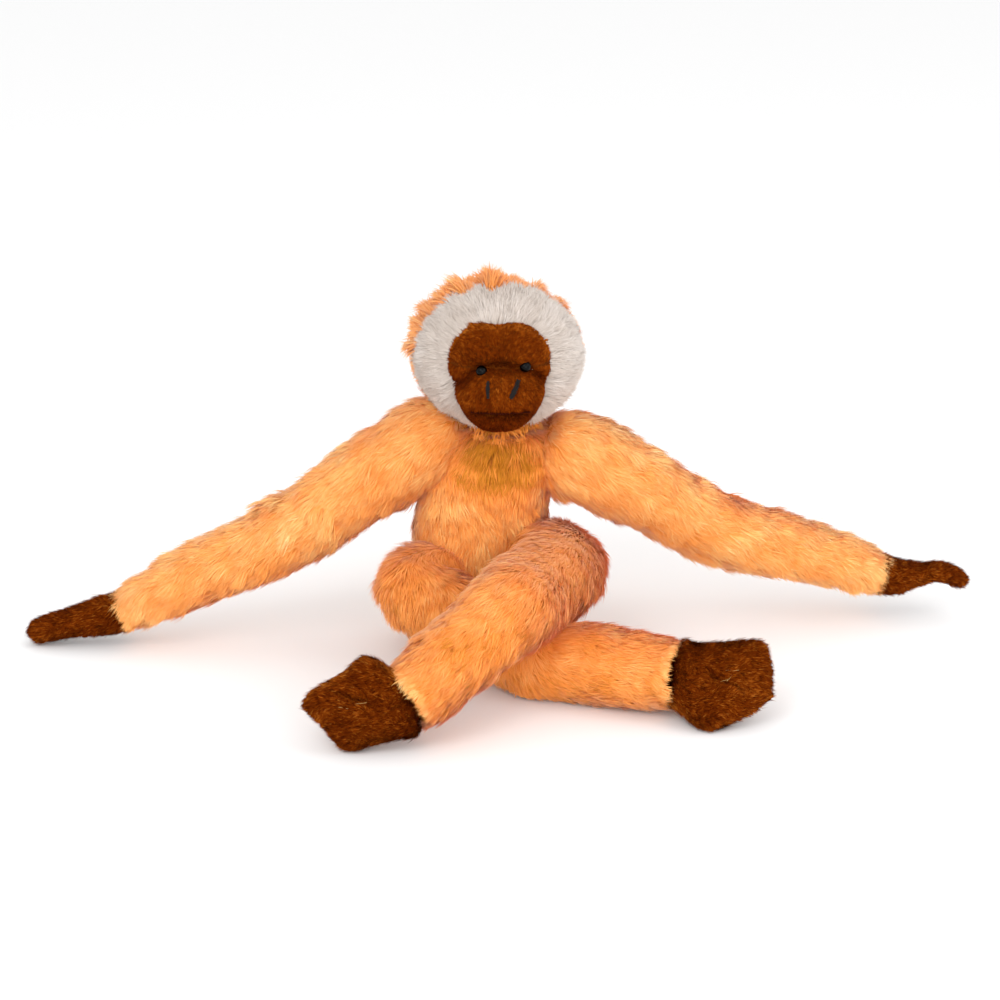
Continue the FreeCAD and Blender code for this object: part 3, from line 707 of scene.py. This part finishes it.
def face():
    rng = np.random.default_rng(90)
    rings, around = 80, 160
    a = np.linspace(-math.pi, math.pi, around, endpoint=False)
    out = face_outline(a)
    verts = []
    for k in range(rings + 4):
        t = min(k / rings, 1.0)
        x = out * t * np.cos(a) + FACE_X
        z = out * t * np.sin(a) + FACE_Z
        y = -face_depth(x, z)
        rim = smooth(0.86, 1.0, t)
        y = y + 3.0 * rim ** 2 + max(0, k - rings) * 2.2
        verts.append(np.stack([HEAD[0] + x, HEAD[1] + y, HEAD[2] + z], 1))
    verts = np.array(verts).reshape(-1, 3)
    tris = []
    for r in range(rings + 3):
        for k in range(around):
            p = r * around + k
            q = r * around + (k + 1) % around
            tris += [(p, p + around, q + around), (p, q + around, q)]
    tris = np.array(tris)
    if vertex_normals(verts, tris)[around * 30:around * 60, 1].mean() > 0:
        tris = tris[:, ::-1]
    skin = make_mesh("face_skin", verts, tris, material=BROWN_SKIN)
    roots, normals = sow(rng, verts, tris, VELOUR_DENSITY * 1.3)
    rel = roots - HEAD
    eyes = [(-9.5, 3.5, 2.7), (13.0, 5.5, 3.2)]
    keep = np.ones(len(roots), bool)
    for ex, ez, er in eyes:
        keep &= np.hypot(rel[:, 0] - ex, rel[:, 2] - ez) > er - 0.6
    roots, normals, rel = roots[keep], normals[keep], rel[keep]
    comb = np.stack([rel[:, 0] * 0.04, np.zeros(len(rel)), np.where(rel[:, 2] > 5, 0.4, -0.8)], 1)
    tone = 0.44 + 0.11 * noise3(roots, 0.9, 91) + 0.13 * noise3(roots, 9, 92)
    # painted shade: the pile is darkened along the seam crease
    seam_shade = bump(rel[:, 2], seam_height(rel[:, 0]), 2.4)
    # painted shade: the pile is darkened along the mouth crease
    mouth = bump(rel[:, 2], MOUTH_Z, 1.8) * smooth(*MOUTH_HALF, np.abs(rel[:, 0]))
    lip = smooth(-17.5, -19.5, rel[:, 2]) * 0.16
    # painted sheen: the pile is lightened at the rim of the face, where it turns edge-on
    fx, fz = rel[:, 0] - FACE_X, rel[:, 2] - FACE_Z
    edge = np.hypot(fx, fz) / face_outline(np.arctan2(fz, fx))
    tone = tone + 0.20 * smooth(0.84, 1.0, edge) - 0.28 * seam_shade - 0.34 * mouth - lip
    vel = pile("face_pile", rng, roots, normals, comb,
               2.1 + 1.0 * rng.random(len(roots)) ** 4, 1.1, 0.28, BROWN_PILE, lock=2.2,
               gather=0.25, wave=0.8, tone=tone, levels=3, seed=90, round_locks=0.4)
    dress(skin, "head", ["brow", "muzzle"])
    dress(vel, "head")
    # satin-stitched nostrils and the drawn-in stitch of the mouth
    for side, pts, w in (("right", [(-6.2, 0.0), (-6.4, -4.2), (-6.2, -8.2)], 1.9),
                         ("left", [(9.6, 0.4), (7.8, -4.0), (5.6, -8.2)], 2.5)):
        thread = stitched(pts, w, 26, rng)
        obj = make_mesh("nostril_thread_" + side, *thread, material=BLACK_THREAD)
        dress(obj, "head", ["nostril_stitch_" + side])
    pts = [(-14.0, -17.6), (-7, -17.2), (0, -17.4), (8, -17.1), (14.6, -17.5)]
    thread = stitched(pts, 0.9, 16, rng)
    obj = make_mesh("mouth_thread", *thread, material=DARK_THREAD)
    dress(obj, "head", ["mouth_stitch"])


def stitched(points, width, turns, rng):
    """A raised bar of thread laid side by side across a line on the face."""
    p = np.array([(x, 0, z) for x, z in points], float)
    line, s = curve_through(p, turns)
    verts, tris = [], []
    rise = 1.5
    for k in range(turns):
        t = unit(line[min(k + 1, turns - 1)] - line[max(k - 1, 0)])
        side = np.array([t[2], 0, -t[0]])
        w = width / 2 * (0.75 + 0.25 * math.sin(math.pi * (k + 0.5) / turns)) * (1 + 0.12 * rng.normal())
        r = (s[-1] / turns) * 0.62
        base = len(verts)
        for a in np.linspace(-1, 1, 7):
            x, z = line[k, 0] + side[0] * w * a, line[k, 2] + side[2] * w * a
            y = -face_depth(np.array([x]), np.array([z]))[0] - rise * math.sqrt(max(0, 1 - 0.8 * a * a))
            for b in range(6):
                g = 2 * math.pi * b / 6
                off = t * math.cos(g) * r + np.array([0, -1, 0]) * math.sin(g) * r
                verts.append(HEAD + np.array([x, y, z]) + off)
        for i in range(6):
            for b in range(6):
                p0 = base + i * 6 + b
                p1 = base + i * 6 + (b + 1) % 6
                tris += [(p0, p1, p1 + 6), (p0, p1 + 6, p0 + 6)]
    return np.array(verts), np.array(tris)


face()


# ---------------------------------------------------------------- neck
def neck():
    rng = np.random.default_rng(99)
    low = pivot("neck_turn") - Z * 4
    high = pivot("neck_nod") + Z * 8
    wide = [(0, 12), (4, 17), (10, 19), (30, 19)]
    verts, tris, path, s = tube([low, (low + high) / 2, high], wide, wide, (1, 0, 0), rings=24, around=40)
    skin = make_mesh("neck_skin", verts, tris, material=ORANGE_SKIN)
    roots, normals = sow(rng, verts, tris, FUR_DENSITY * 0.8)
    keep = np.abs(normals[:, 2]) < 0.8
    roots, normals = roots[keep], normals[keep]
    comb = np.tile(-Z, (len(roots), 1))
    # painted shade under the chin: the front of the neck fur is darker than the back
    tone = 0.2 + 0.25 * smooth(0, 15, roots[:, 1]) + 0.08 * noise3(roots, 9, 4)
    fur = pile("neck_fur", rng, roots, normals, comb, 10.0 + 0 * tone, 0.4, FUR_WIDTH, ORANGE_FUR, lock=7,
               gather=0.6, tone=tone, seed=99)
    across = ("neck", "head", pivot("neck_nod") - Z * 8, pivot("neck_nod") + Z * 8)
    dress(skin, None, ["neck_cover", "neck_gather_thread"], across)
    dress(fur, None, (), across)


neck()


# ---------------------------------------------------------------- hands and feet
def velour_piece(name, body, verts, tris, nodes, comb, seed, flat=None):
    rng = np.random.default_rng(seed)
    skin = make_mesh(name + "_skin", verts, tris, material=BROWN_SKIN)
    roots, normals = sow(rng, verts, tris, VELOUR_DENSITY)
    keep = roots[:, 2] > 0.6
    roots, normals = roots[keep], normals[keep]
    tone = 0.42 + 0.13 * noise3(roots, 1.2, seed + 1) + 0.15 * noise3(roots, 10, seed + 2)
    # painted sheen: where flat is given, the pile is lightened where it turns edge-on to it, round the sides of a
    # pad
    if flat is not None:
        tone = tone + 0.22 * smooth(0.75, 0.1, np.abs(normals @ flat))
    lean = np.tile(comb, (len(roots), 1))
    vel = pile(name + "_pile", rng, roots, normals, lean,
               2.7 + 2.2 * rng.random(len(roots)) ** 4, 1.5, 0.34, BROWN_PILE, lock=2.4,
               gather=0.2, wave=0.9, tone=tone, levels=3, seed=seed, round_locks=0.4, fleck=0.17)
    dress(skin, body, nodes)
    dress(vel, body)


def hand(side, sign):
    wrist = pivot("wrist_" + side)
    aim = unit(node_centre("hand_stuffing_" + side) - wrist)
    wide = [(0, 4), (1.0, 10.2), (10, 10.2), (22, 9.2), (36, 8.2), (44, 7.4), (50, 6.0), (52.5, 3.0)]
    if side == "right":
        tall = [(0, 4), (1.0, 10.2), (12, 10.0), (22, 8.2), (32, 6.8), (42, 6.2), (49, 5.6), (51.5, 4.2),
                (52.5, 2.4)]
        points = [wrist - aim, wrist + aim * 20 - Z * 0.5, wrist + aim * 36 - Z * 1.2,
                  wrist + aim * 51.5 - Z * 2.6]
    else:
        # this hand lies edge on: a thin strip that hooks down at the tip
        level = np.array([1.0, 0.0, 0.0])
        wide = [(0, 4), (1.0, 10.2), (10, 10.0), (22, 8.6), (36, 7.2), (45, 5.6), (49, 3.0)]
        tall = [(0, 4), (1.0, 10.2), (8, 9.6), (14, 8.0), (22, 5.4), (29, 3.9), (37, 4.1), (45, 4.2),
                (48, 3.2), (49, 2.2)]
        bends = [(8, -1.6), (22, -0.2), (30, 1.0), (38, -0.2), (44, -3.4), (47, -5.0)]
        points = [wrist - aim] + [wrist + level * out + Z * up for out, up in bends]
    verts, tris, path, s = tube(points, wide, tall, (0, 1, 0), rings=60, around=40, crumple=0.5,
                                seed=70 + sign)
    velour_piece("hand_" + side, "hand_" + side, verts, tris,
                 ["hand_back_" + side, "hand_palm_" + side, "hand_stuffing_" + side], aim, 130 + sign)


def foot(side, sign):
    ankle = pivot("ankle_" + side)
    v = unit(np.array(JOINTS["ankle_" + side]["axis"]))
    u = unit(node_centre("foot_stuffing_" + side) - ankle)
    u = unit(u - v * (u @ v))
    w = np.cross(u, v)
    if w[1] > 0:
        w = -w
    # outline of the sewn pad, seen flat: along the foot and towards the thumb
    if side == "left":
        turn = math.radians(-20)
        outline = [(0, 14.5), (4, 18.5), (8, 25), (13.0, 28.5), (18.5, 27), (26, 23.2), (36, 21), (43, 19.5),
                   (46.5, 16), (46.5, 12), (43.5, 6), (40.5, 0), (38.2, -6), (35.5, -10.5), (31.5, -12.8),
                   (23, -13.4), (12, -14.4), (0, -15)]
    else:
        turn = 0.0
        outline = [(0, 16), (8, 19.5), (15, 24.5), (21, 27.4), (26, 26.6), (35, 20.6), (44.5, 13), (50.5, 6),
                   (51, 2), (49.4, -8), (46.8, -17), (43.5, -23.2), (38, -24.4), (25, -21), (10, -17.6),
                   (0, -16)]
    p = np.array(outline, float)
    p = p @ np.array([[math.cos(turn), math.sin(turn)], [-math.sin(turn), math.cos(turn)]])
    if side == "left":
        # the lobe that rests on the floor is the fullest
        fall = (p[:, 0] * u[2] + p[:, 1] * v[2]) / np.maximum(np.hypot(p[:, 0], p[:, 1]), 1)
        swell = 1.05 + 0.08 * smooth(0.0, -0.8, fall) - 0.07 * smooth(0.1, 0.8, fall)
        p = p * swell[:, None]
    closed = np.vstack([p, p[:1]])
    ring, _ = curve_through(np.c_[closed, np.zeros(len(closed))], 121)
    ring = ring[:-1, :2]
    centre = np.array([20.0, 3.0])
    levels = 22
    verts = []
    for half in (1, -1):
        for k in range(levels + 1):
            t = k / levels
            q = centre + (ring - centre) * t
            thick = 9.5 * np.sqrt(np.maximum(1 - t ** 3.2, 0)) * (1 + 0.25 * smooth(20, 0, q[:, 0]))
            thick = thick + 0.8 * noise3(np.c_[q, np.full(len(q), half * 5.0)], 9, 5) * (1 - t ** 4)
            stitch = bump(q[:, 1] - 0.35 * (q[:, 0] - 26), 2.0, 1.6)
            stitch = stitch * smooth(14, 20, q[:, 0]) * smooth(42, 34, q[:, 0])
            thick = thick - (2.6 * stitch if half == 1 else 0)
            verts.append(ankle + u * q[:, :1] + v * q[:, 1:2] + w * (half * thick)[:, None])
    n = len(ring)
    verts = np.array(verts).reshape(-1, 3)
    tris = []
    for h in (0, 1):
        b0 = h * (levels + 1) * n
        for r in range(levels):
            for k in range(n):
                p0, q0 = b0 + r * n + k, b0 + r * n + (k + 1) % n
                quad = [(p0, q0, q0 + n), (p0, q0 + n, p0 + n)]
                if h:
                    quad = [t[::-1] for t in quad]
                tris += quad
    tris = np.array(tris)
    nrm = vertex_normals(verts, tris)
    mid = nrm[levels // 2 * n:(levels // 2 + 1) * n].mean(0) @ w
    if mid < 0:
        tris = tris[:, ::-1]
    verts[:, 2] = np.maximum(verts[:, 2], PAD_FLOOR)
    velour_piece("foot_" + side, "foot_" + side, verts, tris,
                 ["foot_top_" + side, "foot_sole_" + side, "foot_stuffing_" + side], u, 150 + sign, w)
    # a few loose pale fibres caught in the crease of the sole
    rng = np.random.default_rng(170 + sign)
    few = 4 if side == "right" else 2
    q = np.stack([rng.uniform(20, 34, few), rng.uniform(-4, 7, few)], 1)
    at = ankle + u * q[:, :1] + v * q[:, 1:] + w * 10.5
    fibres = pile("foot_fibres_" + side, rng, at, np.tile(w, (few, 1)), np.tile(u, (few, 1)),
                  6.5 + 0 * q[:, 0], 0.25, 0.16, CREAM, lock=30, gather=0.0, wave=1.2, levels=6, seed=171)
    dress(fibres, "foot_" + side)


hand("right", -1)
hand("left", 1)
foot("right", -1)
foot("left", 1)

# ---------------------------------------------------------------- stage
bpy.ops.mesh.primitive_plane_add(size=12.0, location=(0, 0, 0))
floor = bpy.context.object
floor.name = "floor"
fm = bpy.data.materials.new("paper")
fm.use_nodes = True
fb = fm.node_tree.nodes["Principled BSDF"]
fb.inputs["Base Color"].default_value = (0.93, 0.93, 0.93, 1)
fb.inputs["Roughness"].default_value = 0.9
fb.inputs["Specular IOR Level"].default_value = 0.1
floor.data.materials.append(fm)

world = bpy.data.worlds.new("studio")
scene.world = world
world.use_nodes = True
world.node_tree.nodes["Background"].inputs["Color"].default_value = (1, 1, 1, 1)
world.node_tree.nodes["Background"].inputs["Strength"].default_value = 1.0


def area(name, loc, size, energy, aim=(0, 0, 0.08)):
    light = bpy.data.lights.new(name, "AREA")
    light.shape = "DISK"
    light.size = size
    light.energy = energy
    obj = bpy.data.objects.new(name, light)
    scene.collection.objects.link(obj)
    obj.location = loc
    d = np.array(aim) - np.array(loc)
    obj.rotation_euler = Vector(d).to_track_quat("-Z", "Y").to_euler()
    return obj


area("key", (-0.6, -1.2, 1.2), 1.0, 7)
area("front", (0.5, -1.8, 0.6), 1.4, 12)
area("side", (1.1, -0.5, 1.0), 1.0, 3.5)

cam = bpy.data.cameras.new("camera")
cam_obj = bpy.data.objects.new("camera", cam)
scene.collection.objects.link(cam_obj)
scene.camera = cam_obj
ELEVATION = math.radians(20.0)
DISTANCE = 1.600
TARGET = np.array([0.009, -0.002, 0.081])
cam_obj.location = TARGET + DISTANCE * np.array([0, -math.cos(ELEVATION), math.sin(ELEVATION)])
cam_obj.rotation_euler = (math.radians(90) - ELEVATION, 0, 0)
cam.sensor_width = 36.0
cam.lens = 36.0 * 2.963
cam.clip_end = 50.0
scene.view_settings.view_transform = "Standard"
